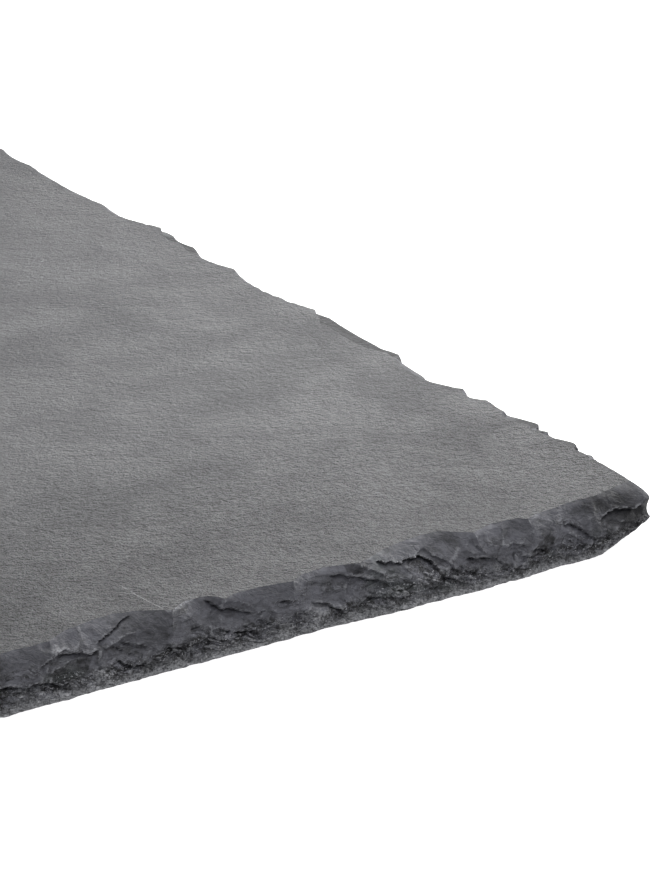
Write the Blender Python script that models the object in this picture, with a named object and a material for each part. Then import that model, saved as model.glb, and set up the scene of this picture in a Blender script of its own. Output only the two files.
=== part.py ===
# A natural slate slab, split along its cleavage and dressed by hand along all four edges.
#
# Metres, +Z up. The origin is the middle of the underside, on the surface that the slab lies on.
# Length runs along X and width along Y. Each edge is followed anticlockwise, seen from above. Along
# it, t is the distance from where it starts, and inset is the distance inwards from its nominal line.
# Run it with: blender --background --python part.py

import math
import random
from bisect import bisect_right
from typing import NamedTuple

import bmesh
import bpy
from mathutils import Vector
from mathutils.geometry import delaunay_2d_cdt

MM = 0.001

# ---------------------------------------------------------------- driving dimensions
LENGTH = 300 * MM
WIDTH = 200 * MM
THICKNESS = 5 * MM
SEED = 7

# Near a corner the sections across the edges fan out to its mitre, over this distance.
FAN = 20 * MM

# Flakes struck off the top arris: each is a scoop that opens from the wall up to the top face.
FLAKE = (6 * MM, 15 * MM)  # shortest and longest, along the edge
RIM = (1.0 * MM, 2.1 * MM)  # inset of the top arris at the ridge between two flakes
BITE = (0.3 * MM, 1.8 * MM)  # how much further in it is at a flake's deepest point
FOOT = (0.3 * MM, 2.4 * MM)  # height at which a flake runs out into the wall
FLARE = (1.4, 2.8)  # how fast it opens towards the top face
LEAN = (-0.35, 0.35)  # drift of the ridge along the edge, for each unit down

# The wall below the flakes: nearly upright, a little wavy, and spalled.
WAVE = (0.1 * MM, 0.8 * MM)
WAVE_GAP = (5 * MM, 12 * MM)
SPALL_GAP = (0.8 * MM, 2.6 * MM)  # from one spall to the next, along the edge
SPALL_REACH = (1.0 * MM, 3.4 * MM)  # half its length
SPALL_RISE = (0.5 * MM, 1.3 * MM)  # half its height
SPALL_DEPTH = (0.35 * MM, 0.95 * MM)
SPALL_HEIGHT = (0.7 * MM, 3.7 * MM)  # height of its middle

# Top sheet: a thin sheet of stone, sprung off the arris here and there.
SHEET = 0.5 * MM
SHEET_GAP = (14 * MM, 45 * MM)
SHEET_RUN = (5 * MM, 16 * MM)
SHEET_BITE = (0.5 * MM, 1.4 * MM)
SHEET_STEP = 0.08 * MM  # rise of the shelf below its broken edge

# The section lines: their heights, and their spacing near the front right corner and elsewhere.
WALL_HEIGHTS = [0.0, 0.6 * MM, 1.25 * MM, 1.95 * MM, 2.7 * MM, 3.5 * MM, THICKNESS - SHEET]
FINE_STEP = 1.5 * MM
STEP = 2.9 * MM
FINE_REACH = 72 * MM

# Top face: level in the middle, worn down a little towards the border.
FACE_CELL = 17 * MM
FACE_WEAR = 0.12 * MM
FACE_LEVEL = 0.55  # share of the face that is level

# The dressing around the front right corner, in mm: each flake's start, counted from the corner,
# then the ridge's inset, the flake's bite, and where it is deepest as a share of its length.
FRONT_TO_CORNER = [
    (-71.0, 1.9, 0.4, 0.5),
    (-62.8, 2.3, 2.0, 0.54),
    (-51.2, 2.1, 1.2, 0.72),
    (-46.3, 1.55, 0.6, 0.27),
    (-39.5, 1.5, 0.95, 0.41),
    (-32.7, 1.4, 2.1, 0.67),
    (-20.7, 1.35, 0.75, 0.62),
    (-14.3, 1.45, 0.3, 0.4),
    (-5.0, 2.25, 0.0, 0.5),
    (0.0, 3.4, 0.0, 0.5),
]
RIGHT_FROM_CORNER = [
    (0.0, 2.0, 0.1, 0.5),
    (12.8, 0.9, 0.2, 0.3),
    (19.2, 0.85, 0.45, 0.4),
    (26.8, 1.2, 0.65, 0.5),
    (30.5, 1.35, 1.6, 0.4),
    (42.6, 1.45, 0.75, 0.4),
    (56.5, 0.95, 1.1, 0.55),
    (72.0, 1.3, 0.9, 0.6),
    (81.8, 1.15, 0.4, 0.5),
    (87.8, 0.55, 1.0, 0.5),
    (98.0, 2.0, 0.5, 0.45),
    (115.5, 1.75, 0.35, 0.5),
    (122.0, 1.45, 0.0, 0.5),
]

RIGHT_SPRUNG = [(5.5, 13.0, 0.8), (15.0, 21.0, 0.7)]  # (start, end, bite) of its sprung sheets

# The wall below the front's chosen flakes, in mm: (place from the corner, inset). No sheet has
# sprung off along it.
FRONT_WALL = [
    (-71.0, 1.2),
    (-60.0, 1.05),
    (-50.0, 0.95),
    (-44.0, 1.0),
    (-36.0, 0.9),
    (-31.0, 0.5),
    (-26.0, 0.15),
    (-17.0, 0.1),
    (-10.0, 0.35),
    (20.0, 0.5),
]

# How far the front right beak stands back from each of its two edges.
BEAK_BACK_FRONT = 1.35 * MM
BEAK_BACK_RIGHT = 0.65 * MM
BEAK_BACK_REACH = 6 * MM

# The other corners: the top arris's inset from the edge before the corner and the one after it.
CORNER_RIM = {
    "back_right": (1.6 * MM, 2.6 * MM),
    "back_left": (3.0 * MM, 1.5 * MM),
    "front_left": (1.3 * MM, 2.2 * MM),
}

# The flake knocked off each corner's underside: its legs along the edge before the corner and
# the one after it, and its height.
CORNER_CHIP = {
    "front_right": (5.4 * MM, 9.0 * MM, 2.3 * MM),
    "back_right": (7.0 * MM, 4.0 * MM, 2.4 * MM),
    "back_left": (3.5 * MM, 8.0 * MM, 3.0 * MM),
    "front_left": (5.0 * MM, 6.0 * MM, 2.0 * MM),
}
# Above that chip each corner stands out as a short beak, with a bevel from there to the top face.
CORNER_BEAK = 3.9 * MM  # its height
CORNER_BEAK_REACH = 9 * MM
CORNER_BEVEL_FLARE = 1.5
CORNER_ROUND = 2.0 * MM
CORNER_ROUND_BITE = 0.3 * MM

SLATE_GREY = (0.075, 0.076, 0.081, 1.0)


# ---------------------------------------------------------------- flakes along an edge
class Flake(NamedTuple):
    """One flake scar along the top arris, with the ridge that it starts at."""

    start: float
    rim: float
    bite: float
    deepest: float
    foot: float
    flare: float
    lean: float


def mix(a, b, share):
    return a + (b - a) * share


def scallop(share, deepest):
    """0 at both ends of a flake and 1 at its deepest point, hollow in between."""
    reach = deepest if share < deepest else 1 - deepest
    return 1 - ((share - deepest) / reach) ** 2


def struck(rng, start, rim, bite, deepest=0.5):
    """A flake of this outline, with the run of its scar down the wall left to chance."""
    return Flake(start, rim, bite, deepest, rng.uniform(*FOOT), rng.uniform(*FLARE), rng.uniform(*LEAN))


def chosen_flakes(rng, rows, corner_at):
    """The chosen flakes of an edge whose front right corner is at corner_at."""
    return [struck(rng, corner_at + at * MM, rim * MM, bite * MM, share) for at, rim, bite, share in rows]


def random_flakes(rng, start, end, first_rim, last_rim):
    """Flakes side by side from start to end, with a closing ridge at the end."""
    flakes = []
    at, rim = start, first_rim
    while end - at > FLAKE[1]:
        flakes.append(struck(rng, at, rim, rng.uniform(*BITE), rng.uniform(0.3, 0.7)))
        at += rng.uniform(*FLAKE)
        rim = rng.uniform(*RIM)
    flakes.append(struck(rng, at, rim, rng.uniform(*BITE)))
    flakes.append(struck(rng, end, last_rim, 0.0))
    return flakes


def wave_points(rng, length):
    """(t, inset) of the points that the wall's waviness runs through."""
    points = [(0.0, sum(WAVE) / 2)]
    while points[-1][0] < length + FAN:
        points.append((points[-1][0] + rng.uniform(*WAVE_GAP), rng.uniform(*WAVE)))
    return points


def wall_spalls(rng, length):
    """(t, height, half length, half height, depth) of the small scars in the wall."""
    spalls = []
    at = 0.0
    while at < length:
        reach, rise = rng.uniform(*SPALL_REACH), rng.uniform(*SPALL_RISE)
        spalls.append((at, rng.uniform(*SPALL_HEIGHT), reach, rise, rng.uniform(*SPALL_DEPTH)))
        at += rng.uniform(*SPALL_GAP)
    return spalls


def sprung_sheets(rng, length, chosen):
    """(start, end, bite) of the stretches where the top sheet has sprung off, the chosen ones first."""
    sheets = [(start * MM, end * MM, bite * MM) for start, end, bite in chosen]
    start = sum(run[1] for run in sheets[-1:]) + rng.uniform(*SHEET_GAP)
    while start < length - FAN:
        end = start + rng.uniform(*SHEET_RUN)
        sheets.append((start, end, rng.uniform(*SHEET_BITE)))
        start = end + rng.uniform(*SHEET_GAP)
    return sheets


# ---------------------------------------------------------------- the four edges
class Edge:
    """One dressed edge of the slab."""

    def __init__(self, rng, corner, along, length, flakes, starts_at, ends_at, sprung=()):
        self.corner = Vector(corner)
        self.along = Vector(along)
        self.inward = Vector((-along[1], along[0], 0.0))
        self.length = length
        self.flakes = flakes
        self.starts_at = starts_at
        self.ends_at = ends_at
        self.waves = wave_points(rng, length)
        self.spalls = wall_spalls(rng, length)
        self.sheets = sprung_sheets(rng, length, sprung)
        self.beak_back = (0.0, 0.0)  # at its start and at its end

    def dress_wall(self, rows):
        """Swaps chance for these rows, counted from the edge's end, in the wall from the first on."""
        waves = [(self.length + at * MM, inset * MM) for at, inset in rows]
        start = waves[0][0]
        self.waves = [wave for wave in self.waves if wave[0] < start] + waves
        self.sheets = [sheet for sheet in self.sheets if sheet[1] < start]

    def flake_at(self, t):
        """(flake, the next one, share of the way along it) at t."""
        i = bisect_right(self.flakes, t, key=lambda flake: flake.start) - 1
        i = min(max(i, 0), len(self.flakes) - 2)
        flake, after = self.flakes[i], self.flakes[i + 1]
        return flake, after, (t - flake.start) / (after.start - flake.start)

    def near_corner(self, t, reach):
        """1 at the edge's two corners, falling to 0 at this reach from them."""
        return max(0.0, 1 - t / reach, 1 - (self.length - t) / reach)

    def wall(self, t, z):
        """Inset of the wall below the flakes."""
        i = max(bisect_right(self.waves, t, key=lambda wave: wave[0]) - 1, 0)
        (start, low), (end, high) = self.waves[i : i + 2]
        scoops = [
            depth * (1 - ((t - at) / reach) ** 2 - ((z - height) / rise) ** 2)
            for at, height, reach, rise, depth in self.spalls
        ]
        inset = mix(low, high, (t - start) / (end - start)) + max(0.0, *scoops)
        rounding = CORNER_ROUND_BITE * self.near_corner(t, CORNER_ROUND) ** 2
        rounding += self.beak_back[0] * max(0.0, 1 - t / BEAK_BACK_REACH) ** 2
        rounding += self.beak_back[1] * max(0.0, 1 - (self.length - t) / BEAK_BACK_REACH) ** 2
        return inset * (1 - self.near_corner(t, CORNER_BEAK_REACH)) + rounding

    def sheet_bite(self, t):
        """How far the top sheet is set back from the arris below it."""
        for start, end, bite in self.sheets:
            if start < t < end:
                return bite * math.sqrt(scallop((t - start) / (end - start), 0.5))
        return 0.0

    def chipped(self, t, z):
        """Inset of the flakes knocked off the underside at the two corners."""
        insets = [0.0]
        for name, distance, own in ((self.starts_at, t, 1), (self.ends_at, self.length - t, 0)):
            *legs, height = CORNER_CHIP[name]
            left = 1 - z / height - distance / legs[own]
            insets.append(left / (1 / legs[0] + 1 / legs[1]))
        return max(insets)

    def section(self, t):
        """The profile that tops out at t, from the underside up, as (place along, inset, z)."""
        flake, after, share = self.flake_at(t)
        lip = mix(flake.rim, after.rim, share) + flake.bite * scallop(share, flake.deepest)
        beak = self.near_corner(t, CORNER_BEAK_REACH)
        foot = mix(mix(flake.foot, after.foot, share), CORNER_BEAK, beak)
        flare = mix(mix(flake.flare, after.flare, share), CORNER_BEVEL_FLARE, beak)
        lean = mix(flake.lean, after.lean, share) * (1 - self.near_corner(t, FAN))

        def profile(z):
            at = t + lean * (THICKNESS - z)
            opening = max(0.0, (z - foot) / (THICKNESS - foot)) ** flare
            inset = mix(self.wall(at, z), lip, opening)
            return at, max(inset, self.chipped(at, z)), z

        shelf_at, shelf, shelf_z = profile(THICKNESS - SHEET + SHEET_STEP)
        sprung = self.sheet_bite(t)
        sheet = [(shelf_at, shelf + sprung, shelf_z), (t, lip + sprung, THICKNESS)]
        return [profile(z) for z in WALL_HEIGHTS] + sheet

    def points(self, t, at_start, at_end):
        """The section at t in space. It slides along by the neighbours' sections at the corners."""
        to_start = max(0.0, 1 - t / FAN)
        to_end = max(0.0, 1 - (self.length - t) / FAN)
        points = []
        for (at, inset, z), (_, before, _), (_, after, _) in zip(self.section(t), at_start, at_end):
            along = at + before * to_start - after * to_end
            point = self.corner + self.along * along + self.inward * inset
            points.append((point.x, point.y, z))
        return points

    def stops(self):
        """Where the section lines stand: on every ridge and deepest point, and in between."""
        marks = [0.0]
        for flake, after in zip(self.flakes, self.flakes[1:]):
            marks.append(mix(flake.start, after.start, flake.deepest))
            marks.append(after.start)
        stops = []
        for a, b in zip(marks, marks[1:]):
            from_corner = {self.starts_at: a, self.ends_at: self.length - b}.get("front_right", LENGTH)
            count = max(1, round((b - a) / (FINE_STEP if from_corner < FINE_REACH else STEP)))
            stops += [mix(a, b, i / count) for i in range(count)]
        return stops


def make_edges():
    """The four edges, anticlockwise from the front left corner."""
    rng = random.Random(SEED)
    chosen_front = chosen_flakes(rng, FRONT_TO_CORNER, LENGTH)
    chosen_right = chosen_flakes(rng, RIGHT_FROM_CORNER, 0.0)
    back_right, back_left, front_left = CORNER_RIM.values()
    first, last = chosen_front[0], chosen_right[-1]
    front = random_flakes(rng, 0.0, first.start, front_left[1], first.rim)[:-1] + chosen_front
    right = chosen_right[:-1] + random_flakes(rng, last.start, WIDTH, last.rim, back_right[0])
    back = random_flakes(rng, 0.0, LENGTH, back_right[1], back_left[0])
    left = random_flakes(rng, 0.0, WIDTH, back_left[1], front_left[0])

    x, y = LENGTH / 2, WIDTH / 2
    edges = [
        Edge(rng, (-x, -y, 0), (1, 0, 0), LENGTH, front, "front_left", "front_right"),
        Edge(rng, (x, -y, 0), (0, 1, 0), WIDTH, right, "front_right", "back_right", RIGHT_SPRUNG),
        Edge(rng, (x, y, 0), (-1, 0, 0), LENGTH, back, "back_right", "back_left"),
        Edge(rng, (-x, y, 0), (0, -1, 0), WIDTH, left, "back_left", "front_left"),
    ]
    edges[0].dress_wall(FRONT_WALL)
    edges[0].beak_back = (0.0, BEAK_BACK_FRONT)
    edges[1].beak_back = (BEAK_BACK_RIGHT, 0.0)
    return edges


# ---------------------------------------------------------------- mesh
def rim_sections(edges):
    """The sections all the way round the slab, as rows of points from the underside up."""
    rows = []
    for i, edge in enumerate(edges):
        before, after = edges[i - 1], edges[(i + 1) % len(edges)]
        at_start, at_end = before.section(before.length), after.section(0.0)
        rows += [edge.points(t, at_start, at_end) for t in edge.stops()]
    return rows


def face_points():
    """The points inside the top and bottom faces, in a staggered grid."""
    columns = round((LENGTH - FAN) / FACE_CELL)
    rows = round((WIDTH - FAN) / FACE_CELL)
    points = []
    for row in range(rows + 1):
        stagger = 0.25 if row % 2 else -0.25
        for column in range(columns + 1):
            x = (LENGTH - FAN - FACE_CELL / 2) * ((column + stagger) / columns - 0.5)
            y = (WIDTH - FAN) * (row / rows - 0.5)
            points.append(Vector((x, y)))
    return points


def top_height(x, y):
    """Height of the top face: level in the middle, worn down towards the border."""
    outwards = max(abs(x) / (LENGTH / 2), abs(y) / (WIDTH / 2))
    worn = max(0.0, (outwards - FACE_LEVEL) / (1 - FACE_LEVEL))
    return THICKNESS - FACE_WEAR * worn**2


def fill(bm, ring, height, facing):
    """Closes a face of the slab inside the ring of its arris."""
    outline = [vert.co.xy for vert in ring]
    count = len(outline)
    border = [(i, (i + 1) % count) for i in range(count)]
    points, _, faces, sources, _, _ = delaunay_2d_cdt(outline + face_points(), border, [], 1, 1e-7)
    verts = []
    for point, source in zip(points, sources):
        on_ring = [i for i in source if i < count]
        if on_ring:
            verts.append(ring[on_ring[0]])
        else:
            verts.append(bm.verts.new((point.x, point.y, height(point.x, point.y))))
    for face in faces:
        bm.faces.new([verts[i] for i in face][::facing])


def build_slab_mesh():
    """The whole slab as one closed mesh: the dressed edges, then the two faces."""
    bm = bmesh.new()
    sections = [[bm.verts.new(point) for point in row] for row in rim_sections(make_edges())]
    for here, after in zip(sections, sections[1:] + sections[:1]):
        for level in range(len(here) - 1):
            bm.faces.new((here[level], after[level], after[level + 1], here[level + 1]))
    fill(bm, [section[0] for section in sections], lambda x, y: 0.0, -1)
    fill(bm, [section[-1] for section in sections], top_height, 1)
    bmesh.ops.triangulate(bm, faces=bm.faces[:])
    bmesh.ops.recalc_face_normals(bm, faces=bm.faces[:])
    mesh = bpy.data.meshes.new("slate_slab")
    bm.to_mesh(mesh)
    bm.free()
    return mesh


def slate_material():
    """Split slate: dark grey, dull, faintly blue."""
    material = bpy.data.materials.new("slate")
    material.use_nodes = True
    shader = material.node_tree.nodes["Principled BSDF"]
    shader.inputs["Base Color"].default_value = SLATE_GREY
    shader.inputs["Roughness"].default_value = 0.6
    shader.inputs["Metallic"].default_value = 0.0
    return material


def main():
    for obj in list(bpy.data.objects):
        bpy.data.objects.remove(obj)
    slab = bpy.data.objects.new("slate_slab", build_slab_mesh())
    slab.data.materials.append(slate_material())
    bpy.context.scene.collection.objects.link(slab)


main()
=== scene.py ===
import math
import random

import bpy
import numpy as np
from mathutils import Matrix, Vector
from mathutils.geometry import delaunay_2d_cdt


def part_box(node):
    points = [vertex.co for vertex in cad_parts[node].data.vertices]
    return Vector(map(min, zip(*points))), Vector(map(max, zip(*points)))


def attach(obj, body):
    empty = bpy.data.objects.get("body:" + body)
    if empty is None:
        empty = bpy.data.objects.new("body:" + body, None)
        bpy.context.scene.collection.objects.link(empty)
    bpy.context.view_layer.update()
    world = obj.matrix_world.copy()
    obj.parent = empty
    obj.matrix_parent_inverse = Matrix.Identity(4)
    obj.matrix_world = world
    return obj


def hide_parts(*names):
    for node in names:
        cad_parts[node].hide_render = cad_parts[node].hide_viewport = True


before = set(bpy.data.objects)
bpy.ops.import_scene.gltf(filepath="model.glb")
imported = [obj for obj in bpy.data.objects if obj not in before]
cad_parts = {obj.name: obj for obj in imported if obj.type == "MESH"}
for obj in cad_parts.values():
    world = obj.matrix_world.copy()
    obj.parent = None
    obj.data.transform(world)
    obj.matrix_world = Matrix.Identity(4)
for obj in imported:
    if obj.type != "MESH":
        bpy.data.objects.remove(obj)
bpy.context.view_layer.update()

mm = 0.001

# The slab's own block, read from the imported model. All shape numbers below are in millimetres.
# t runs along an edge, anticlockwise from above, and inset runs inwards from its nominal line.
lowCorner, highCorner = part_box("slate_slab")
block = {
    "length": round((highCorner.x - lowCorner.x) / mm),
    "width": round((highCorner.y - lowCorner.y) / mm),
    "thick": round((highCorner.z - lowCorner.z) / mm, 2),
    "fan": 20.0,  # the sections fan out to each corner's mitre over this distance
}


# flakes struck off the top arris: the shape that carries the outline
flakes = {
    "seed": 7,
    "long": (6, 15),
    "rim": (1.0, 2.1),  # inset of the arris at the ridge between two flakes
    "bite": (0.3, 1.8),  # how much further in it is at the deepest point
    "foot": (0.3, 2.4),  # height at which a flake runs out into the wall
    "flare": (1.4, 2.8),  # how fast it opens towards the top
    "lean": (-0.35, 0.35),  # drift of the ridge along the edge on the way down
    # start, rim, bite, deepest: up to the front right corner, then on from it
    "toCorner": [
        (-71.0, 1.9, 0.4, 0.5),
        (-62.8, 2.3, 2.0, 0.54),
        (-51.2, 2.1, 1.2, 0.72),
        (-46.3, 1.55, 0.6, 0.27),
        (-39.5, 1.5, 0.95, 0.41),
        (-32.7, 1.4, 2.1, 0.67),
        (-20.7, 1.35, 0.75, 0.62),
        (-14.3, 1.45, 0.3, 0.4),
        (-5.0, 2.25, 0.0, 0.5),
        (0.0, 3.4, 0.0, 0.5),
    ],
    "fromCorner": [
        (0.0, 2.0, 0.1, 0.5),
        (12.8, 0.9, 0.2, 0.3),
        (19.2, 0.85, 0.45, 0.4),
        (26.8, 1.2, 0.65, 0.5),
        (30.5, 1.35, 1.6, 0.4),
        (42.6, 1.45, 0.75, 0.4),
        (56.5, 0.95, 1.1, 0.55),
        (72.0, 1.3, 0.9, 0.6),
        (81.8, 1.15, 0.4, 0.5),
        (87.8, 0.55, 1.0, 0.5),
        (98.0, 2.0, 0.5, 0.45),
        (115.5, 1.75, 0.35, 0.5),
        (122.0, 1.45, 0.0, 0.5),
    ],
    "cornerRims": [(1.6, 2.6), (3.0, 1.5), (1.3, 2.2)],  # back right, back left, front left
}

# the wall below the flakes
wall = {
    "wave": (0.1, 0.8),
    "waveGap": (5, 12),
    "spallGap": (0.8, 2.6),
    "spallReach": (1.0, 3.4),
    "spallRise": (0.5, 1.3),
    "spallDepth": (0.35, 0.95),
    "spallHeight": (0.7, 3.7),
    # place before the front right corner, inset: the wall below the chosen flakes there
    "toCorner": [
        (-71.0, 1.2),
        (-60.0, 1.05),
        (-50.0, 0.95),
        (-44.0, 1.0),
        (-36.0, 0.9),
        (-31.0, 0.5),
        (-26.0, 0.15),
        (-17.0, 0.1),
        (-10.0, 0.35),
        (20.0, 0.5),
    ],
}

# thin sheets of stone sprung off the top arris
sheets = {
    "thick": 0.5,
    "step": 0.08,
    "gap": (14, 45),
    "run": (5, 16),
    "bite": (0.5, 1.4),
    "rightEdge": [(5.5, 13.0, 0.8), (15.0, 21.0, 0.7)],  # start, end, bite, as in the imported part
    "proud": 0.55,  # how far the stone below stands out
    "fullBite": 0.5,  # bite at which it stands out in full
    "proudFrom": (3.2, 4.2),  # height over which it comes out
    "proudDark": {"right": 0.85},  # how much darker that stone is, by edge
    "elsewhereDark": 0.3,
    # the right edge beside the corner: its sheets in finer form, then the shelves left below them
    "nearCorner": [(9.0, 13.0, 0.6), (12.6, 16.8, 1.1), (16.0, 19.6, 1.0), (19.2, 23.4, 1.0)],
    "shelves": [(9.4, 12.4, 0.55), (12.7, 15.9, 1.05), (17.6, 19.0, 0.65), (19.3, 23.3, 1.05)],
    "nearEnd": 25.0,
}

# the corners: a chip off the underside (legs before and after the corner, height), a beak above it
corners = {
    "chips": {
        "frontRight": (5.4, 9.0, 2.3),
        "backRight": (7.0, 4.0, 2.4),
        "backLeft": (3.5, 8.0, 3.0),
        "frontLeft": (5.0, 6.0, 2.0),
    },
    "beak": 3.9,  # height of its lower edge
    "beakReach": 9.0,
    "bevelFlare": 1.5,
    "tone": (0.05, 0.42, 3.2),  # tone of the bevel, painted dark as shade, then of its facet at the corner itself, painted paler as lit, and its reach
    "matt": 0.55,
    "plainRim": 0.75,  # how much of the painted pale rims and the painted crack shade is missing from the beak
    "plainCrack": 0.6,
    "calm": 0.85,  # how much smoother the stone is beside a corner
    "plainEnd": 2.0,  # no ledge or scar runs across the corner itself
    "round": 2.0,
    "roundBite": 0.3,
    "outermost": -0.1,  # no stone stands out further than this from the slab's own block
    # painted shade: the hollow below the front right beak is darkened, as if in the beak's shadow
    "hollow": {"place": 3.0, "high": 2.6, "long": 2.9, "tall": 0.85, "dark": 0.75},
    # how far the front right beak stands back from the ends of its two edges
    "beakBack": {"front": (0.0, 1.35), "right": (0.65, 0.0)},
    "beakBackReach": 6.0,
}

# step scars: smooth scoops with an overhanging upper lip, which reads as a dark crack
# each is middle, foot height, half length, height, depth, skew
stepScars = {
    "seed": 21,
    "gap": (2.2, 5.5),
    "halfLong": (1.5, 4.6),
    "high": (1.4, 3.9),
    "foot": (-0.4, 1.4),
    "depth": (0.22, 0.6),
    "skew": (-0.65, 0.65),
    "roofEdge": 0.22,
    "smallGap": (0.7, 1.9),
    "smallHalf": (0.4, 1.3),
    "smallHigh": (0.4, 1.3),
    "smallFoot": (0.0, 2.4),
    "smallDepth": (0.08, 0.26),
    # chosen ones before the front right corner
    "toCorner": [
        (-61.4, 1.3, 3.6, 2.6, 0.34, 0.2),
        (-53.4, 0.2, 1.5, 1.2, 0.20, 0.3),
        (-45.2, 1.0, 3.4, 3.5, 0.24, 0.5),
        (-41.6, 0.2, 1.6, 1.7, 0.20, -0.3),
        (-31.8, 0.8, 3.6, 3.6, 0.30, 0.5),
        (-25.2, 0.3, 3.4, 3.9, 0.34, 0.3),
        (-19.0, 0.2, 2.6, 2.7, 0.22, 0.4),
        (-10.4, 0.6, 2.4, 2.5, 0.20, 0.2),
        (-5.0, -0.9, 4.4, 3.9, 0.22, -0.2),
    ],
    "chosenFrom": -72.0,
}

# ledges: irregular lines where a sheet of stone broke off short and the wall below steps back
# each is a run of (place, height), how far it steps back, and how far down that reaches
ledges = {
    "seed": 27,
    "gap": (1.6, 4.2),
    "long": (1.6, 5.0),
    "high": (0.7, 4.1),
    "fall": (-0.5, 0.16),  # rise over run of the line
    "depth": (0.14, 0.42),
    "reach": (0.5, 1.5),
    "edge": 0.10,
    "crack": 0.45,  # share of the step that is a narrow crack right under the line
    "crackHigh": 0.13,
    # height of the pale rim painted above each line as a highlight
    "rimHigh": 0.075,
    "ridgeHighlightShare": {"front": 1.0, "right": 0.4},  # how strongly the ridges are painted pale as highlights, by edge
    "wobble": [(1.3, 0.24), (0.42, 0.12), (0.24, 0.05)],
    "crackShadeHigh": 0.13,  # how far below a line the stone is painted near black, as painted shade under the overhang
    "crackGap": (-0.45, 0.15),  # a wandering value: shut below the first, open above the second
    "smallGap": (0.35, 1.0),
    "smallLong": (0.5, 1.7),
    "smallHigh": (0.15, 3.0),
    "smallFall": (-0.75, 0.15),
    "smallDepth": (0.10, 0.24),
    "smallReach": (0.25, 0.7),
    # chosen ones before the front right corner
    "toCorner": [
        (((-69.5, 2.9), (-66.8, 2.3), (-64.0, 1.7), (-61.8, 1.3)), 0.34, 1.0),
        (((-64.4, 3.4), (-62.6, 3.75), (-60.4, 3.55), (-58.4, 2.9)), 0.42, 1.2),
        (((-58.6, 3.6), (-57.0, 4.1), (-55.4, 4.6), (-54.4, 4.85)), 0.26, 0.9),
        (((-56.2, 3.3), (-54.9, 3.0), (-53.9, 2.7)), 0.28, 0.7),
        (((-57.0, 1.9), (-55.4, 1.4), (-53.8, 0.9), (-52.4, 0.4)), 0.32, 0.9),
        (((-52.6, 2.4), (-51.0, 1.8), (-49.4, 0.8)), 0.26, 0.8),
        (((-50.2, 3.4), (-49.0, 3.0), (-47.9, 2.3)), 0.18, 0.8),
        (((-47.6, 4.6), (-46.2, 4.1), (-44.9, 3.5), (-43.6, 2.9)), 0.42, 1.1),
        (((-46.0, 2.1), (-44.4, 1.6), (-43.0, 0.9)), 0.24, 0.7),
        (((-41.9, 3.7), (-40.6, 3.5), (-39.2, 2.9)), 0.20, 0.8),
        (((-40.8, 2.0), (-39.6, 1.9), (-38.4, 1.4)), 0.22, 0.6),
        (((-37.8, 2.7), (-36.6, 2.3), (-35.2, 1.4), (-34.4, 0.8)), 0.42, 1.0),
        (((-35.6, 4.5), (-34.0, 4.3), (-32.2, 3.7), (-30.4, 2.8)), 0.46, 1.2),
        (((-32.6, 2.3), (-31.2, 1.7), (-30.2, 1.0)), 0.26, 0.8),
        (((-30.9, 4.5), (-29.0, 4.25), (-27.0, 3.9), (-25.2, 3.3), (-24.5, 2.3)), 0.50, 1.3),
        (((-27.4, 2.2), (-26.0, 1.7), (-24.8, 0.9)), 0.24, 0.7),
        (((-24.8, 2.4), (-23.4, 1.6), (-22.3, 0.8), (-21.2, 0.3)), 0.42, 0.9),
        (((-21.9, 3.0), (-20.4, 2.8), (-18.8, 2.4), (-17.5, 1.8)), 0.40, 0.9),
        (((-21.0, 4.4), (-20.5, 3.6), (-19.9, 2.9)), 0.20, 0.7),
        (((-17.4, 3.2), (-16.4, 3.3), (-15.4, 2.9)), 0.30, 0.6),
        (((-16.2, 2.3), (-15.2, 2.1), (-14.4, 1.6)), 0.28, 0.6),
        (((-14.6, 2.5), (-13.7, 2.4), (-12.8, 1.9)), 0.28, 0.6),
        (((-13.4, 1.2), (-12.2, 0.9), (-11.2, 0.4)), 0.24, 0.6),
        (((-10.6, 3.7), (-9.6, 3.35), (-8.6, 2.75), (-7.7, 2.1), (-7.4, 1.2)), 0.36, 0.9),
        (((-6.6, 2.9), (-6.0, 3.45), (-5.0, 3.55), (-3.3, 3.75), (-2.2, 3.6), (-1.0, 3.3)), 0.55, 1.5),
    ],
}

# hollow facets all over the break, in three sizes, and the crushed foot
breakFace = {
    "seed": 33,
    # facets for each mm of edge, half length, height over length, depth, share of the tone, calmed or not
    "facets": [
        (0.5, (1.8, 4.6), (0.35, 0.65), 0.50, 0.6, False),
        (2.4, (0.7, 1.8), (0.40, 0.80), 0.24, 0.3, True),
        (11.0, (0.28, 0.7), (0.45, 0.90), 0.085, 0.1, True),
    ],
    "warp": [(1.7, 0.9, 0.40), (0.5, 0.35, 0.13)],  # length, height, swing of the wandering lines
    "tilt": 0.55,  # how far a pan's floor may lean, as a share of its depth
    # place before the front right corner, and how much lighter the stone is there
    "lighter": [(-72, 0.0), (-62, 0.05), (-50, 0.0), (-40, 0.22), (-24, 0.26), (-14, 0.1), (-6, 0.0)],
    "roughUpTo": 2.0,  # height of the line between the rough break and the calm facets above it
    "roughSwing": 1.3,
    "roughRun": 4.5,  # how long that line's waves are
    "roughFade": (-0.6, 0.8),
    "roughFoot": (0.5, 1.5),  # rough all along up to the first height, calm enough from the second
    "roughPatch": (2.6, 1.1, 0.55),  # patches of rough stone in the calm: length, height, strength
    "calmest": 0.28,
    "calmFlakes": 0.6,  # how much smoother the flakes' own scars are
    "underLip": (4.0, 0.65),  # height from which the relief dies away to the arris, and how much of it does
    "footCalm": (0.7, 0.3),  # height below which it dies away to the foot, and how much of it stays
    "laminaPitch": 0.30,
    "laminaDepth": 0.05,
    "footHeight": 0.6,
    "footRough": 0.09,
    "rough": 0.045,
    "matt": ((3.4, 4.4), 0.7),  # the right edge's stone is dull from here up, where it would mirror the sky
    "nibbleDeep": 0.32,
    "nibbleFine": 0.07,
    "nibbleHigh": 0.25,
    "nibbleShare": {"right": 1.9},
}

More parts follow.
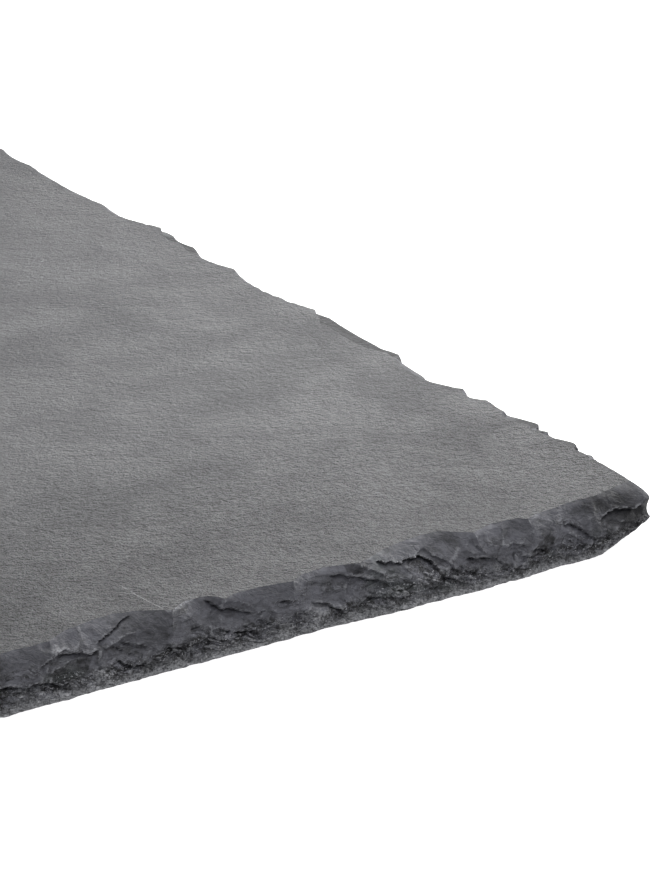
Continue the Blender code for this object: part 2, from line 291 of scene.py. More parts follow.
# the mesh: heights of its rows, and spacing of its columns near the seen corner and elsewhere
rows = {
    "foot": [0.0, 0.07, 0.16, 0.27, 0.39, 0.52, 0.66, 0.80],
    "pitch": 0.135,
    "lip": [4.42, 4.48, 4.52, 4.56, 4.62, 4.70, 4.78, 4.86, 4.93, 4.98, 5.0],
}
columnStep = {"front": (72, 0.15), "right": (124, 0.45), "rest": 0.75}
sharpAngle = 28  # degrees; creases steeper than this stay crisp


def mix(a, b, share):
    return a + (b - a) * share


def smooth(low, high, x):
    s = np.clip((x - low) / (high - low), 0.0, 1.0)
    return s * s * (3 - 2 * s)


def latticeValue(ix, iy, seed):
    # repeatable random number between 0 and 1 at each whole-number lattice point
    n = np.sin(ix * 127.1 + iy * 311.7 + seed * 74.7) * 43758.5453
    return n - np.floor(n)


def noise2(x, y, seed):
    # smooth noise between -1 and 1, with a feature size of 1
    ix, iy = np.floor(x), np.floor(y)
    fx, fy = x - ix, y - iy
    fx, fy = fx * fx * (3 - 2 * fx), fy * fy * (3 - 2 * fy)
    low = mix(latticeValue(ix, iy, seed), latticeValue(ix + 1, iy, seed), fx)
    high = mix(latticeValue(ix, iy + 1, seed), latticeValue(ix + 1, iy + 1, seed), fx)
    return mix(low, high, fy) * 2 - 1


def layeredNoise(x, y, seed, layers=3):
    total, size = 0.0, 1.0
    for layer in range(layers):
        total = total + noise2(x / size, y / size, seed + layer * 13) * size
        size *= 0.5
    return total / (2 - size * 2)


# each flake is start, rim, bite, deepest, foot, flare, lean
def struck(rng, start, rim, bite, deepest=0.5):
    run = [rng.uniform(*flakes[key]) for key in ("foot", "flare", "lean")]
    return [start, rim, bite, deepest] + run


def randomFlakes(rng, start, end, firstRim, lastRim):
    made, at, rim = [], start, firstRim
    while end - at > flakes["long"][1]:
        made.append(struck(rng, at, rim, rng.uniform(*flakes["bite"]), rng.uniform(0.3, 0.7)))
        at += rng.uniform(*flakes["long"])
        rim = rng.uniform(*flakes["rim"])
    made.append(struck(rng, at, rim, rng.uniform(*flakes["bite"])))
    made.append(struck(rng, end, lastRim, 0.0))
    return made


def wavePoints(rng, length):
    points = [(0.0, sum(wall["wave"]) / 2)]
    while points[-1][0] < length + block["fan"]:
        points.append((points[-1][0] + rng.uniform(*wall["waveGap"]), rng.uniform(*wall["wave"])))
    return np.array(points)


def wallSpalls(rng, length):
    spalls, at = [], 0.0
    while at < length:
        reach, rise = rng.uniform(*wall["spallReach"]), rng.uniform(*wall["spallRise"])
        spalls.append((at, rng.uniform(*wall["spallHeight"]), reach, rise, rng.uniform(*wall["spallDepth"])))
        at += rng.uniform(*wall["spallGap"])
    return spalls


def sprungSheets(rng, length, chosen):
    runs = list(chosen)
    start = sum(run[1] for run in runs[-1:]) + rng.uniform(*sheets["gap"])
    while start < length - block["fan"]:
        end = start + rng.uniform(*sheets["run"])
        runs.append((start, end, rng.uniform(*sheets["bite"])))
        start = end + rng.uniform(*sheets["gap"])
    return runs


def makeEdges():
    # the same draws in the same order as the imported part, so that the outline agrees with it
    rng = random.Random(flakes["seed"])
    length, width = block["length"], block["width"]
    front = [struck(rng, length + at, *rest) for at, *rest in flakes["toCorner"]]
    right = [struck(rng, at, *rest) for at, *rest in flakes["fromCorner"]]
    backRight, backLeft, frontLeft = flakes["cornerRims"]
    front = randomFlakes(rng, 0.0, front[0][0], frontLeft[1], front[0][1])[:-1] + front
    right = right[:-1] + randomFlakes(rng, right[-1][0], width, right[-1][1], backRight[0])
    back = randomFlakes(rng, 0.0, length, backRight[1], backLeft[0])
    left = randomFlakes(rng, 0.0, width, backLeft[1], frontLeft[0])
    x, y = length / 2, width / 2
    plan = [
        ("front", (-x, -y), (1, 0), length, front, "frontLeft", "frontRight", ()),
        ("right", (x, -y), (0, 1), width, right, "frontRight", "backRight", sheets["rightEdge"]),
        ("back", (x, y), (-1, 0), length, back, "backRight", "backLeft", ()),
        ("left", (-x, y), (0, -1), width, left, "backLeft", "frontLeft", ()),
    ]
    edges = []
    for name, corner, along, long, edgeFlakes, startsAt, endsAt, sprung in plan:
        edges.append({
            "name": name,
            "corner": np.array(corner, float),
            "along": np.array(along, float),
            "inward": np.array((-along[1], along[0]), float),
            "length": float(long),
            "flakes": np.array(edgeFlakes),
            "ends": (startsAt, endsAt),
            "waves": wavePoints(rng, long),
            "spalls": wallSpalls(rng, long),
            "sheets": sprungSheets(rng, long, sprung),
        })
    dressFrontWall(edges[0])
    dressRightLip(edges[1])
    return edges


def dressFrontWall(edge):
    # the chosen wall before the corner takes the place of the random one
    chosen = np.array([(edge["length"] + at, inset) for at, inset in wall["toCorner"]])
    start = chosen[0, 0]
    edge["waves"] = np.concatenate([edge["waves"][edge["waves"][:, 0] < start], chosen])
    edge["sheets"] = [sheet for sheet in edge["sheets"] if sheet[1] < start]


def dressRightLip(edge):
    beyond = [sheet for sheet in edge["sheets"] if sheet[0] > sheets["nearEnd"]]
    edge["sheets"] = sheets["nearCorner"] + beyond


def nearCorner(edge, t, reach):
    return np.maximum(0.0, np.maximum(1 - t / reach, 1 - (edge["length"] - t) / reach))


def columnPlaces(edge):
    # a column on every ridge and deepest point, with even steps in between
    f = edge["flakes"]
    marks = [0.0]
    for here, after in zip(f, f[1:]):
        marks += [mix(here[0], after[0], here[3]), after[0]]
    places = []
    for a, b in zip(marks, marks[1:]):
        seen = {"front": edge["length"] - b, "right": a}.get(edge["name"], math.inf)
        reach, fine = columnStep.get(edge["name"], (0.0, 0.0))
        step = fine if seen < reach else columnStep["rest"]
        count = max(1, round((b - a) / step))
        places += [mix(a, b, i / count) for i in range(count)]
    return np.array(places + [edge["length"]])


def rowHeights():
    pitch = rows["pitch"]
    middle = np.arange(rows["foot"][-1] + pitch, rows["lip"][0] - pitch / 2, pitch)
    return np.concatenate([rows["foot"], middle, rows["lip"]])


def window(t, low, high):
    return slice(np.searchsorted(t, low), np.searchsorted(t, high))


def carveSpalls(edge, t, at, z):
    relief = np.zeros_like(at)
    for place, height, reach, rise, depth in edge["spalls"]:
        if edge["name"] == "front" and place > edge["length"] + stepScars["chosenFrom"]:
            continue
        near = window(t, place - reach - 2, place + reach + 2)
        bowl = depth * (1 - ((at[:, near] - place) / reach) ** 2 - ((z[:, near] - height) / rise) ** 2)
        relief[:, near] = np.maximum(relief[:, near], bowl)
    return relief


def carveStepScars(t, at, z, scars):
    relief = np.zeros_like(at)
    for place, foot, halfLong, high, depth, skew in scars:
        near = window(t, place - halfLong - 2.5, place + halfLong + 2.5)
        u = (at[:, near] - place) / halfLong
        inside = np.clip(1 - u * u, 0, 1)
        roof = inside * (1 - skew * u)
        up = (z[:, near] - foot) / high
        share = up / np.maximum(roof, 1e-4)
        scoop = depth * np.sqrt(inside) * (0.35 + 0.65 * np.clip(share, 0, 1) ** 1.6)
        underRoof = (roof - up) * high
        scoop = scoop * smooth(-0.5, 0.1, up) * smooth(0.0, stepScars["roofEdge"], underRoof)
        relief[:, near] = np.maximum(relief[:, near], scoop)
    return relief


def scarsAlong(edge, rng):
    # large random scars up to the chosen ones, then the small ones all along
    end = edge["length"] + (stepScars["chosenFrom"] if edge["name"] == "front" else 0.0)
    keys = ("foot", "halfLong", "high", "depth")
    smallKeys = ("smallFoot", "smallHalf", "smallHigh", "smallDepth")
    scars = []
    for names, gap, stop in ((keys, "gap", end), (smallKeys, "smallGap", edge["length"])):
        at = 0.0
        while at < stop:
            sizes = [rng.uniform(*stepScars[name]) for name in names]
            scars.append((at, *sizes, rng.uniform(*stepScars["skew"])))
            at += rng.uniform(*stepScars[gap])
    if edge["name"] == "front":
        scars += [(edge["length"] + place, *rest) for place, *rest in stepScars["toCorner"]]
    return scars


def ledgeLines(edge, rng):
    # large random lines up to the chosen ones, then the small ones all along
    chosen = ledges["toCorner"] if edge["name"] == "front" else []
    end = edge["length"] + (stepScars["chosenFrom"] if chosen else 0.0)
    keys = ("long", "high", "fall", "depth", "reach", "gap")
    smallKeys = ("smallLong", "smallHigh", "smallFall", "smallDepth", "smallReach", "smallGap")
    lines = []
    for names, stop in ((keys, end), (smallKeys, edge["length"])):
        at = 0.0
        while at < stop:
            long, high, fall, depth, reach, gap = [rng.uniform(*ledges[name]) for name in names]
            points = [(at + long * share, high + long * fall * share) for share in (0.0, 0.5, 1.0)]
            lines.append((points, depth, reach))
            at += gap
    for points, depth, reach in chosen:
        lines.append(([(edge["length"] + place, high) for place, high in points], depth, reach))
    return lines


def ledgeField(edge, t, at, z, rng, seed):
    # each line steps back at once and comes forward again lower down; its rim is painted pale as a
    # highlight, and the stone just under the line is painted dark as the shade of the overhang
    field, rim, crack = np.zeros_like(at), np.zeros_like(at), np.zeros_like(at)
    closed, opened = ledges["crackGap"]
    for points, depth, reach in ledgeLines(edge, rng):
        places, heights = zip(*points)
        near = window(t, places[0] - 1.5, places[-1] + 1.5)
        x = at[:, near]
        line = np.interp(x, places, heights)
        for long, swing in ledges["wobble"]:
            line = line + swing * noise2(x / long, x * 0 + places[0], seed + 83)
        taper = min(0.9, 0.4 * (places[-1] - places[0]))
        ends = smooth(places[0] - 0.3 * taper, places[0] + 0.7 * taper, x)
        ends = ends * (1 - smooth(places[-1] - 0.7 * taper, places[-1] + 0.3 * taper, x))
        below = line - z[:, near]
        narrow = np.exp(-((below / ledges["crackHigh"]) ** 2))
        step = smooth(0.0, reach, reach - below) + ledges["crack"] * narrow
        step = step * smooth(0.0, ledges["edge"], below)
        field[:, near] = np.maximum(field[:, near], depth * ends * step)
        # painted highlight: the crest just above each line is painted pale
        crest = np.exp(-((np.minimum(below - 0.02, 0) / ledges["rimHigh"]) ** 2)) * (below < 0.05)
        rim[:, near] = np.maximum(rim[:, near], crest * ends * min(1.0, depth / 0.3))
        # painted shade: just under each line the stone is darkened as if in the overhang's shadow
        dark = np.exp(-((np.maximum(below - 0.06, 0) / ledges["crackShadeHigh"]) ** 2)) * (below > -0.02)
        gaping = smooth(closed, opened, noise2(x / 0.9, x * 0 + places[0], seed + 89))
        crack[:, near] = np.maximum(crack[:, near], dark * ends * gaping * min(1.0, depth / 0.25))
    return field, rim, crack


def facetField(edge, t, at, z, rng, sizes):
    # overlapping shallow pans that meet in sharp ridges, as slate breaks, each with its own tone
    perMm, halfRange, squashRange, depth = sizes
    field, tone = np.zeros_like(at), np.full_like(at, 0.5)
    for _ in range(int(edge["length"] * perMm)):
        place, height = rng.uniform(-1, edge["length"] + 1), rng.uniform(-0.3, 5.3)
        half = rng.uniform(*halfRange)
        squash = rng.uniform(*squashRange)
        turn = rng.uniform(-0.7, 0.7)
        level = rng.uniform(0.35, 1.0)
        tiltU, tiltV = rng.uniform(-1, 1) * breakFace["tilt"], rng.uniform(-1, 1) * breakFace["tilt"]
        panTone = rng.random()
        near = window(t, place - half - 2.2, place + half + 2.2)
        along, up = at[:, near] - place, z[:, near] - height
        u = (along * math.cos(turn) + up * math.sin(turn)) / half
        v = (up * math.cos(turn) - along * math.sin(turn)) / (half * squash)
        pan = level + tiltU * u + tiltV * v - (u * u + v * v) ** 2
        wins = pan > field[:, near]
        field[:, near] = np.where(wins, pan, field[:, near])
        tone[:, near] = np.where(wins, panTone, tone[:, near])
    return field * depth, tone


def wander(at, z, seed):
    # the same place, pushed about, so that no line on the break runs true
    shiftAt, shiftZ = 0.0, 0.0
    for i, (long, high, swing) in enumerate(breakFace["warp"]):
        shiftAt = shiftAt + swing * noise2(at / long, z / high, seed + 61 + i)
        shiftZ = shiftZ + swing * 0.6 * noise2(at / long, z / high, seed + 71 + i)
    return at + shiftAt, z + shiftZ


def chipAway(edge, at, z):
    # the flakes knocked off the underside at both of the edge's corners
    cut = np.zeros_like(at)
    for name, distance, own in ((edge["ends"][0], at, 1), (edge["ends"][1], edge["length"] - at, 0)):
        *legs, height = corners["chips"][name]
        left = 1 - z / height - distance / legs[own]
        cut = np.maximum(cut, left / (1 / legs[0] + 1 / legs[1]))
    return cut


def shelvesAlong(t):
    # each stands out at once at its end by the corner, and dies away at the other
    out = np.zeros_like(t)
    for start, end, far in sheets["shelves"]:
        s = np.clip((t - start) / (end - start), 0, 1)
        out = np.maximum(out, far * np.minimum(1, s / 0.12) * (1 - s) ** 0.6)
    return out


def cornerHollowShade(edge, t, z):
    # painted shade in the hollow under the beak, carried in the crack mark
    hollow = corners["hollow"]
    before = {"front": edge["length"] - t, "right": -t}.get(edge["name"], math.inf)
    away = ((before - hollow["place"]) / hollow["long"]) ** 2 + ((z - hollow["high"]) / hollow["tall"]) ** 2
    return hollow["dark"] * np.exp(-away)


def flakeShape(edge, t, beak):
    # for each column: inset of the arris, then the foot, flare and lean of the flake that it is in
    f = edge["flakes"]
    i = np.clip(np.searchsorted(f[:, 0], t, side="right") - 1, 0, len(f) - 2)
    here, after = f[i], f[i + 1]
    share = (t - here[:, 0]) / (after[:, 0] - here[:, 0])
    reach = np.where(share < here[:, 3], here[:, 3], 1 - here[:, 3])
    hollow = 1 - ((share - here[:, 3]) / reach) ** 2
    lip = mix(here[:, 1], after[:, 1], share) + here[:, 2] * hollow
    foot = mix(mix(here[:, 4], after[:, 4], share), corners["beak"], beak)
    flare = mix(mix(here[:, 5], after[:, 5], share), corners["bevelFlare"], beak)
    lean = mix(here[:, 6], after[:, 6], share) * (1 - nearCorner(edge, t, block["fan"]))
    return lip, foot, flare, lean


def cornerRounding(edge, t):
    rounding = corners["roundBite"] * nearCorner(edge, t, corners["round"]) ** 2
    for back, distance in zip(corners["beakBack"].get(edge["name"], ()), (t, edge["length"] - t)):
        rounding = rounding + back * np.clip(1 - distance / corners["beakBackReach"], 0, 1) ** 2
    return rounding


def roughShare(at, z, opening, beak, seed):
    # 1 where the break is rough, near 0 where it is calm: rough below a wandering line, and in patches
    line = layeredNoise(at / breakFace["roughRun"], z * 0, seed + 23)
    line = breakFace["roughUpTo"] + breakFace["roughSwing"] * line
    long, high, strength = breakFace["roughPatch"]
    patches = strength * smooth(0.1, 0.5, layeredNoise(at / long, z / high, seed + 29))
    below = 1 - (1 - breakFace["calmest"]) * smooth(*breakFace["roughFade"], z - line)
    rough = (1 - breakFace["calmFlakes"] * np.clip(opening, 0, 1)) * np.maximum(patches, below)
    rough = np.maximum(rough, 1 - smooth(*breakFace["roughFoot"], z))
    return rough * (1 - corners["calm"] * beak * smooth(1.5, 3.0, z))


def stoneToneAndBevelShade(edge, t, at, z, tone, beak):
    # lighter runs of the front edge, and painted light and shade on the two facets of the bevel at each
    # corner: the bevel painted dark, its facet at the corner paler
    if edge["name"] == "front":
        tone = tone + np.interp(at - edge["length"], *zip(*breakFace["lighter"]))
    bevelShadeTone, litCornerFacetTone, reach = corners["tone"]
    atEnd = smooth(0.0, 0.3, nearCorner(edge, t, reach)) * smooth(3.6, 3.9, z)
    return mix(tone, mix(bevelShadeTone, litCornerFacetTone, atEnd), beak * smooth(1.0, 2.5, z))


def splitLayers(at, z, warpedZ, seed):
    # thin layers of the slate, which show in places
    drift = layeredNoise(at / 3.1, z / 1.1, seed + 5)
    layer = warpedZ / breakFace["laminaPitch"] + drift * 1.5
    return (layer - np.floor(layer)) * breakFace["laminaDepth"] * smooth(-0.2, 0.6, drift)


def nibbledLip(edge, at, z, beak, seed):
    # the ragged line of the arris
    nibble = np.clip(layeredNoise(at / 1.1, z * 0, seed + 17) - 0.05, 0, None) * breakFace["nibbleDeep"]
    nibble = nibble + np.abs(noise2(at / 0.55, z * 0, seed + 19)) * breakFace["nibbleFine"]
    nibble = nibble * breakFace["nibbleShare"].get(edge["name"], 1.0)
    return nibble * (1 - beak) * smooth(block["thick"] - breakFace["nibbleHigh"], block["thick"], z)


def sprungLip(edge, t):
    # for each column: how much of the top sheet is gone, and how far the stone below it stands out
    gone = np.zeros_like(t)
    for start, end, bite in edge["sheets"]:
        s = np.clip((t - start) / (end - start), 0, 1)
        gone = np.maximum(gone, bite * np.sqrt(4 * s * (1 - s)))
    out = sheets["proud"] * np.clip(gone / sheets["fullBite"], 0, 1)
    if edge["name"] == "right":
        out = np.where(t < sheets["nearEnd"], shelvesAlong(t), out)
    return gone, out


def wornArris(edge, t, z):
    # the runs of the front arris that are rubbed pale
    worn = np.zeros_like(t)
    for start, end, strength in bruises["arris"] if edge["name"] == "front" else ():
        run = (t - edge["length"] - start) / (end - start)
        worn = np.maximum(worn, strength * smooth(0.0, 0.15, run) * (1 - smooth(0.85, 1.0, run)))
    return worn * smooth(block["thick"] - 0.16, block["thick"] - 0.04, z)


def mattShare(edge, z, beak, shaded):
    # where the stone has lost its sheen
    heights, most = breakFace["matt"]
    high = most * smooth(*heights, z) if edge["name"] == "right" else 0.0
    return np.maximum(shaded, np.maximum(corners["matt"] * beak * smooth(1.0, 2.0, z), high))


def edgeSurface(edge, seed):
    # places, insets and the marks that the finish reads, all as (row, column) grids
    rng = random.Random(breakFace["seed"] * 100 + seed)
    thick = block["thick"]
    t = columnPlaces(edge)
    beak = nearCorner(edge, t, corners["beakReach"])
    lip, foot, flare, lean = flakeShape(edge, t, beak)
    at = t + lean * (thick - rowHeights()[:, None])
    z = rowHeights()[:, None] + 0 * at

    base = np.interp(at, edge["waves"][:, 0], edge["waves"][:, 1])
    relief = carveSpalls(edge, t, at, z)
    opening = np.clip((z - foot) / (thick - foot), 0, None) ** flare
    inset = mix((base + relief) * (1 - beak) + cornerRounding(edge, t), lip, opening)

    # what the blows left, from the largest to the finest
    warpedAt, warpedZ = wander(at, z, seed)
    lipFrom, lipShare = breakFace["underLip"]
    belowLip = 1 - lipShare * smooth(lipFrom, thick, z)
    footFrom, footShare = breakFace["footCalm"]
    standsOut = footShare + (1 - footShare) * smooth(0.0, footFrom, z)
    plain = 1 - nearCorner(edge, t, corners["plainEnd"])
    scars = scarsAlong(edge, random.Random(stepScars["seed"] + seed))
    scars = carveStepScars(t, warpedAt, warpedZ, scars) * plain
    inset = inset + np.maximum(scars - relief * (1 - beak) * (1 - opening), 0) * belowLip
    rough = roughShare(at, z, opening, beak, seed)
    tone = 0.0
    for *sizes, toneShare, calmed in breakFace["facets"]:
        facets, facetTone = facetField(edge, t, warpedAt, warpedZ, rng, sizes)
        tone = tone + facetTone * toneShare
        inset = inset + (facets - facets.mean()) * belowLip * (rough if calmed else 1.0) * standsOut
    steps, rim, crack = ledgeField(edge, t, at, z, random.Random(ledges["seed"] + seed), seed)
    inset = inset + steps * standsOut * plain
    inset = inset + splitLayers(at, z, warpedZ, seed)
    crushed = np.exp(-((z / breakFace["footHeight"]) ** 2))
    inset = inset + breakFace["footRough"] * crushed * layeredNoise(at / 0.5, z / 0.34, seed + 9)
    inset = inset + breakFace["rough"] * rough * layeredNoise(at / 0.45, z / 0.4, seed + 11)
    inset = inset + nibbledLip(edge, at, z, beak, seed)

    gone, out = sprungLip(edge, t)
    sheetFoot = thick - sheets["thick"]
    inSheet = smooth(sheetFoot, sheetFoot + sheets["step"], z)
    upTo = smooth(*sheets["proudFrom"], z)
    proud = np.clip(out / sheets["proud"], 0, 1) * upTo
    inset = inset - out * upTo * (1 - inSheet)
    inset = inset + gone * inSheet
    inset = np.maximum(inset, chipAway(edge, at, z))
    inset = np.maximum(inset, corners["outermost"])

    shaded = proud * sheets["proudDark"].get(edge["name"], sheets["elsewhereDark"])
    # the rim mark: highlights painted on the ledge rims, together with the rubbed pale arris
    rim = np.maximum(rim, wornArris(edge, t, z)) * (1 - proud) * (1 - corners["plainRim"] * beak)
    # the crack mark is painted shade under the ledges, left off the proud stone and most of the beak
    crack = crack * (1 - proud) * (1 - corners["plainCrack"] * beak)
    marks = {
        "crush": crushed,
        "pale": palePatches(edge, t, at, z, rng) * (1 - proud),
        "rim": rim,
        "rough": rough,
        "tone": mix(stoneToneAndBevelShade(edge, t, at, z, tone, beak), 0.0, shaded),
        "matt": mattShare(edge, z, beak, shaded),
        # painted shade under the ledges and in the hollow below the beak
        "crack": np.maximum(crack, cornerHollowShade(edge, t, z)),
    }
    return {"t": t, "at": at, "z": z, "inset": inset, "marks": marks}


# bruised patches, where the blow crushed the stone to a pale powder
bruises = {
    "gap": (4.0, 15.0),
    "high": (0.2, 2.6),
    "long": (0.4, 1.5),
    "tall": (0.3, 0.9),
    # start and end before the front right corner, strength: pale wear right on the arris
    "arris": [(-51.9, -48.4, 1.0), (-45.8, -43.9, 0.4), (-33.5, -31.0, 0.4), (-14.0, -12.2, 0.4)],
    # place before the front right corner, height, half length, half height, strength
    "toCorner": [
        (-66.0, 0.7, 1.5, 0.7, 0.7),
        (-58.6, 1.2, 0.9, 0.5, 0.8),
        (-52.0, 0.6, 2.0, 0.5, 0.6),
        (-46.0, 0.5, 1.8, 0.5, 0.6),
        (-40.8, 0.8, 0.8, 0.9, 0.8),
        (-37.4, 1.5, 1.3, 0.8, 1.0),
        (-33.0, 0.5, 1.6, 0.5, 0.8),
        (-27.0, 1.1, 0.5, 1.2, 0.6),
        (-23.0, 0.5, 1.4, 0.5, 0.7),
        (-18.4, 1.5, 0.8, 0.6, 0.7),
        (-13.0, 0.5, 1.4, 0.4, 0.6),
    ],
}


def palePatches(edge, t, at, z, rng):
    patches, place = [], 0.0
    while place < edge["length"]:
        sizes = [rng.uniform(*bruises[key]) for key in ("high", "long", "tall")]
        patches.append((place, *sizes, rng.uniform(0.4, 0.9)))
        place += rng.uniform(*bruises["gap"])
    if edge["name"] == "front":
        end = edge["length"]
        patches = [patch for patch in patches if patch[0] < end + stepScars["chosenFrom"]]
        patches += [(end + before, *rest) for before, *rest in bruises["toCorner"]]
    field = np.zeros_like(at)
    for place, high, long, tall, strength in patches:
        near = window(t, place - 3 * long - 2, place + 3 * long + 2)
        away = ((at[:, near] - place) / long) ** 2 + ((z[:, near] - high) / tall) ** 2
        field[:, near] = np.maximum(field[:, near], strength * np.exp(-away))
    return field


def curvature(surface):
    # above 0 on a ridge and below 0 in a hollow, from the spread of the insets around each point
    inset = surface["inset"]
    blurred = inset.copy()
    for _ in range(4):
        padded = np.pad(blurred, 1, mode="edge")
        blurred = (padded[:-2, 1:-1] + padded[2:, 1:-1] + padded[1:-1, :-2] + padded[1:-1, 2:]) / 4
    return blurred - inset


def placePoints(edge, surface, before, after):
    # near a corner a section slides along by the other edge's insets there
    t, length = surface["t"], edge["length"]
    toStart = np.maximum(0.0, 1 - t / block["fan"])
    toEnd = np.maximum(0.0, 1 - (length - t) / block["fan"])
    along = surface["at"] + before["inset"][:, -1:] * toStart - after["inset"][:, :1] * toEnd
    plan = (
        edge["corner"]
        + edge["along"] * along[:, :, None]
        + edge["inward"] * surface["inset"][:, :, None]
    )
    return np.concatenate([plan, surface["z"][:, :, None]], axis=2)


# the split faces: low swells and a fine ripple
cleft = {
    "seed": 51,
    "topCell": 3.6,  # spacing of the points inside the faces
    "underCell": 9.0,
    "clear": 14.0,  # those points keep off the edges, by this much for both sides together
    "wear": 0.12,  # how much lower the face is at the edge
    "level": 0.55,  # share of the way outwards that stays level
    "swell": 0.05,
    "ripple": 0.018,
}


def topHeight(x, y):
    outwards = np.maximum(np.abs(x) / (block["length"] / 2), np.abs(y) / (block["width"] / 2))
    worn = np.clip((outwards - cleft["level"]) / (1 - cleft["level"]), 0, None)
    swell = layeredNoise(x / 37.0, y / 24.0, cleft["seed"]) - 1
    ripple = layeredNoise(x / 9.0, y / 6.0, cleft["seed"] + 3) - 1
    return block["thick"] - cleft["wear"] * worn**2 + cleft["swell"] * swell + cleft["ripple"] * ripple


def facePoints(cell):
    long, wide = block["length"] - cleft["clear"], block["width"] - cleft["clear"]
    columns, lines = round(long / cell), round(wide / cell)
    rng = random.Random(cleft["seed"])
    points = []
    for line in range(lines + 1):
        for column in range(columns + 1):
            jitterX, jitterY = rng.uniform(-0.25, 0.25), rng.uniform(-0.25, 0.25)
            x = long * ((column + jitterX) / columns - 0.5)
            y = wide * ((line + jitterY) / lines - 0.5)
            points.append((x, y))
    return points


def fillFace(points, ring, cell, height, upwards):
    # triangles inside the ring of an arris; new points are added to the list
    outline = [Vector(points[i][:2]) for i in ring]
    count = len(outline)
    inner = [Vector(p) for p in facePoints(cell)]
    border = [(i, (i + 1) % count) for i in range(count)]
    made, _, faces, sources, _, _ = delaunay_2d_cdt(outline + inner, border, [], 1, 1e-6)
    index = []
    for point, source in zip(made, sources):
        onRing = [i for i in source if i < count]
        if onRing:
            index.append(ring[onRing[0]])
        else:
            index.append(len(points))
            points.append((point.x, point.y, float(height(point.x, point.y))))
    return [[index[i] for i in (face if upwards else face[::-1])] for face in faces]


def sharpenArris(mesh, ring):
    # a crisp line where the break meets the split face
    pairs = np.zeros(len(mesh.edges) * 2, np.int32)
    mesh.edges.foreach_get("vertices", pairs)
    onRing = np.isin(pairs, list(ring)).reshape(-1, 2).all(axis=1)
    sharp = mesh.attributes.get("sharp_edge") or mesh.attributes.new("sharp_edge", "BOOLEAN", "EDGE")
    values = np.zeros(len(mesh.edges), bool)
    sharp.data.foreach_get("value", values)
    sharp.data.foreach_set("value", values | onRing)


def buildSlabMesh():
    edges = makeEdges()
    surfaces = [edgeSurface(edge, i) for i, edge in enumerate(edges)]
    grids, marks = [], {}
    for i, (edge, surface) in enumerate(zip(edges, surfaces)):
        points = placePoints(edge, surface, surfaces[i - 1], surfaces[(i + 1) % 4])
        grids.append(points[:, :-1])
        # ridges painted pale as highlights, found from the curvature
        ridge = curvature(surface) * ledges["ridgeHighlightShare"].get(edge["name"], 0.35)
        surface["marks"]["ridge"] = ridge * (1 - 0.9 * surface["marks"]["matt"])
        for name, values in surface["marks"].items():
            marks.setdefault(name, []).append(values[:, :-1])
    grid = np.concatenate(grids, axis=1)
    high, long = grid.shape[:2]
    points = [tuple(p) for p in grid.reshape(-1, 3)]
    number = np.arange(high * long).reshape(high, long)
    after = np.roll(number, -1, axis=1)
    quads = np.stack([number[:-1], after[:-1], after[1:], number[1:]], axis=2).reshape(-1, 4)
    faces = quads.tolist()
    wallFaces = len(faces)
    faces += fillFace(points, number[-1].tolist(), cleft["topCell"], topHeight, True)
    faces += fillFace(points, number[0].tolist(), cleft["underCell"], lambda x, y: 0.0, False)

    mesh = bpy.data.meshes.new("slateSlab")
    mesh.from_pydata([(x * mm, y * mm, z * mm) for x, y, z in points], [], faces)
    mesh.validate()
    kind = np.zeros(len(faces), np.int32)
    kind[:wallFaces] = 1
    mesh.polygons.foreach_set("material_index", kind)
    for name, parts in marks.items():
        values = np.zeros(len(points), np.float32)
        values[: high * long] = np.concatenate(parts, axis=1).reshape(-1)
        mesh.attributes.new(name, "FLOAT", "POINT").data.foreach_set("value", values)
    mesh.shade_smooth()
    mesh.set_sharp_from_angle(angle=math.radians(sharpAngle))
    sharpenArris(mesh, set(number[-1].tolist()))
    mesh.update()
    print("slab mesh:", len(points), "points,", sum(len(f) - 2 for f in faces), "triangles")
    return mesh


def addNode(tree, kind, inputs=None, **settings):
    node = tree.nodes.new(kind)
    for name, value in settings.items():
        setattr(node, name, value)
    for name, value in (inputs or {}).items():
        if isinstance(value, bpy.types.NodeSocket):
            tree.links.new(value, node.inputs[name])
        else:
            node.inputs[name].default_value = value
    return node


def newMaterial(name):
    material = bpy.data.materials.new(name)
    material.use_nodes = True
    tree = material.node_tree
    where = addNode(tree, "ShaderNodeTexCoord").outputs["Object"]
    inMm = addNode(tree, "ShaderNodeMapping", {"Vector": where, "Scale": (1 / mm, 1 / mm, 1 / mm)})
    return material, tree, tree.nodes["Principled BSDF"], inMm.outputs["Vector"]


def grain(tree, where, perMm, detail=3.0, roughness=0.55, distortion=0.0):
    noise = addNode(
        tree,
        "ShaderNodeTexNoise",
        {
            "Vector": where,
            "Scale": perMm,
            "Detail": detail,
            "Roughness": roughness,
            "Distortion": distortion,
        },
    )
    return noise.outputs["Fac"]


def calc(tree, operation, *values, clamp=False):
    node = addNode(tree, "ShaderNodeMath", dict(enumerate(values)), operation=operation, use_clamp=clamp)
    return node.outputs["Value"]


def times(tree, first, second):
    return calc(tree, "MULTIPLY", first, second)


def turned(tree, where, scale, turn=(0, 0, 0)):
    return addNode(
        tree, "ShaderNodeMapping", {"Vector": where, "Rotation": turn, "Scale": scale}
    ).outputs["Vector"]


def spread(tree, value, fromLow, fromHigh, toLow=0.0, toHigh=1.0):
    node = addNode(
        tree,
        "ShaderNodeMapRange",
        {"Value": value, "From Min": fromLow, "From Max": fromHigh, "To Min": toLow, "To Max": toHigh},
        interpolation_type="SMOOTHSTEP",
    )
    return node.outputs["Result"]


def tint(tree, share, colourA, colourB):
    node = addNode(tree, "ShaderNodeMix", data_type="RGBA")
    for socket, value in zip((node.inputs[0], node.inputs[6], node.inputs[7]), (share, colourA, colourB)):
        if isinstance(value, bpy.types.NodeSocket):
            tree.links.new(value, socket)
        else:
            socket.default_value = value if isinstance(value, float) else (*value, 1.0)
    return node.outputs[2]


